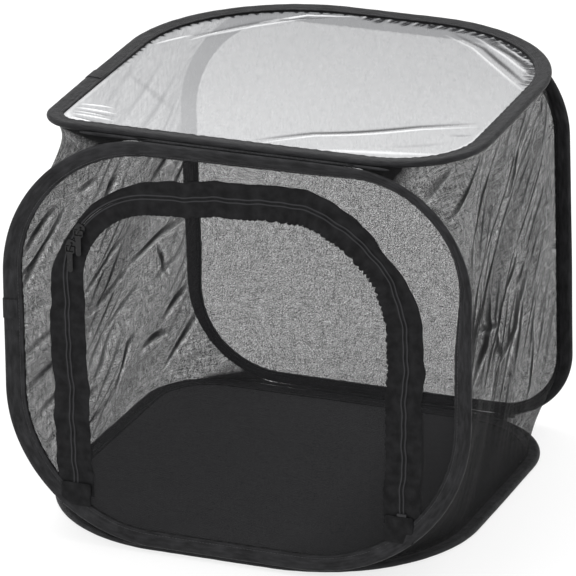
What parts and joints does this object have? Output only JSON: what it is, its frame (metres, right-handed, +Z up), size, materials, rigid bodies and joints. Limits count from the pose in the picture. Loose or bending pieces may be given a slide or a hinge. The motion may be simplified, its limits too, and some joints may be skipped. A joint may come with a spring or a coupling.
{
  "type": "mesh insect cage",
  "caption": "Pop-up netting cage for insects: four sprung hoops in binding tape, clear top window, cloth floor and an arched zip door; it folds flat.",
  "frame": {"origin": "middle of the flat ring it stands on, under the floor panel", "axes": "+Z up, the zip door faces -Y, +X to the right seen from the front"},
  "size_m": [0.4338, 0.3969, 0.3933],
  "materials": {
    "binding_tape": "matte woven black tape",
    "black_net": "fine black netting, see-through",
    "clear_film": "clear soft film",
    "floor_cloth": "matte black woven cloth",
    "seam_thread": "black stitching",
    "zip_tape": "ribbed black zip tape",
    "zip_teeth": "black nylon coil",
    "zip_slider": "black enamelled zinc",
    "spring_steel": "blued spring steel"
  },
  "bodies": {
    "base": {"base_binding": "binding_tape", "base_hoop_wire": "spring_steel", "base_hoop_ferrule": "spring_steel", "floor_cloth": "floor_cloth", "fold_seam_front_low": "seam_thread", "fold_seam_back_low": "seam_thread", "left_side_net": "black_net", "right_side_net": "black_net"},
    "front_panel": {"front_binding": "binding_tape", "front_binding_lap": "binding_tape", "front_hoop_wire": "spring_steel", "front_hoop_ferrule": "spring_steel", "front_net": "black_net", "zip_outer_tape": "zip_tape", "zip_outer_chain": "zip_teeth", "zip_end_tab_left": "binding_tape", "zip_end_tab_right": "binding_tape", "zip_end_stop": "zip_teeth"},
    "back_panel": {"back_binding": "binding_tape", "back_binding_lap": "binding_tape", "back_hoop_wire": "spring_steel", "back_hoop_ferrule": "spring_steel", "back_net": "black_net"},
    "top_panel": {"top_binding": "binding_tape", "top_binding_lap": "binding_tape", "top_hoop_wire": "spring_steel", "top_hoop_ferrule": "spring_steel", "top_window": "clear_film", "fold_seam_front_high": "seam_thread", "fold_seam_back_high": "seam_thread"},
    "door": {"door_net": "black_net", "zip_inner_tape": "zip_tape", "zip_inner_chain": "zip_teeth"},
    "upper_slider_body": {"upper_slider": "zip_slider"},
    "lower_slider_body": {"lower_slider": "zip_slider"},
    "upper_pull_body": {"upper_pull": "zip_slider"},
    "lower_pull_body": {"lower_pull": "zip_slider"}
  },
  "joints": [
    {"name": "front_fold", "type": "hinge", "parent": "base", "child": "front_panel", "pos_m": [0, -0.1907, 0.00588], "axis": [-1, 0, 0], "range_deg": [-85, 85], "stiffness_Nm_per_rad": 3, "deforming": ["left_side_net", "right_side_net"]},
    {"name": "back_fold", "type": "hinge", "parent": "base", "child": "back_panel", "pos_m": [0, 0.1907, 0.00588], "axis": [-1, 0, 0], "range_deg": [-85, 85]},
    {"name": "top_fold", "type": "hinge", "parent": "front_panel", "child": "top_panel", "pos_m": [0, -0.1907, 0.38644], "axis": [1, 0, 0], "range_deg": [-85, 85]},
    {"name": "door_swing", "type": "hinge", "parent": "front_panel", "child": "door", "pos_m": [0, -0.19513, 0.078], "axis": [1, 0, 0], "range_deg": [0, 100]},
    {"name": "upper_slider_travel", "type": "hinge", "parent": "door", "child": "upper_slider_body", "pos_m": [-0.071, -0.19378, 0.25156], "axis": [0, 1, 0], "range_deg": [0, 52]},
    {"name": "lower_slider_travel", "type": "hinge", "parent": "door", "child": "lower_slider_body", "pos_m": [-0.071, -0.19378, 0.25156], "axis": [0, -1, 0], "range_deg": [0, 19]},
    {"name": "upper_pull_flip", "type": "hinge", "parent": "upper_slider_body", "child": "upper_pull_body", "pos_m": [-0.14229, -0.19738, 0.29785], "axis": [-1, 0, 0], "range_deg": [0, 160]},
    {"name": "lower_pull_flip", "type": "hinge", "parent": "lower_slider_body", "child": "lower_pull_body", "pos_m": [-0.15035, -0.19738, 0.28202], "axis": [-1, 0, 0], "range_deg": [0, 160]}
  ],
  "couplings": [
    {"joint": "back_fold", "follows": "front_fold", "ratio": 1},
    {"joint": "top_fold", "follows": "front_fold", "ratio": 1}
  ]
}
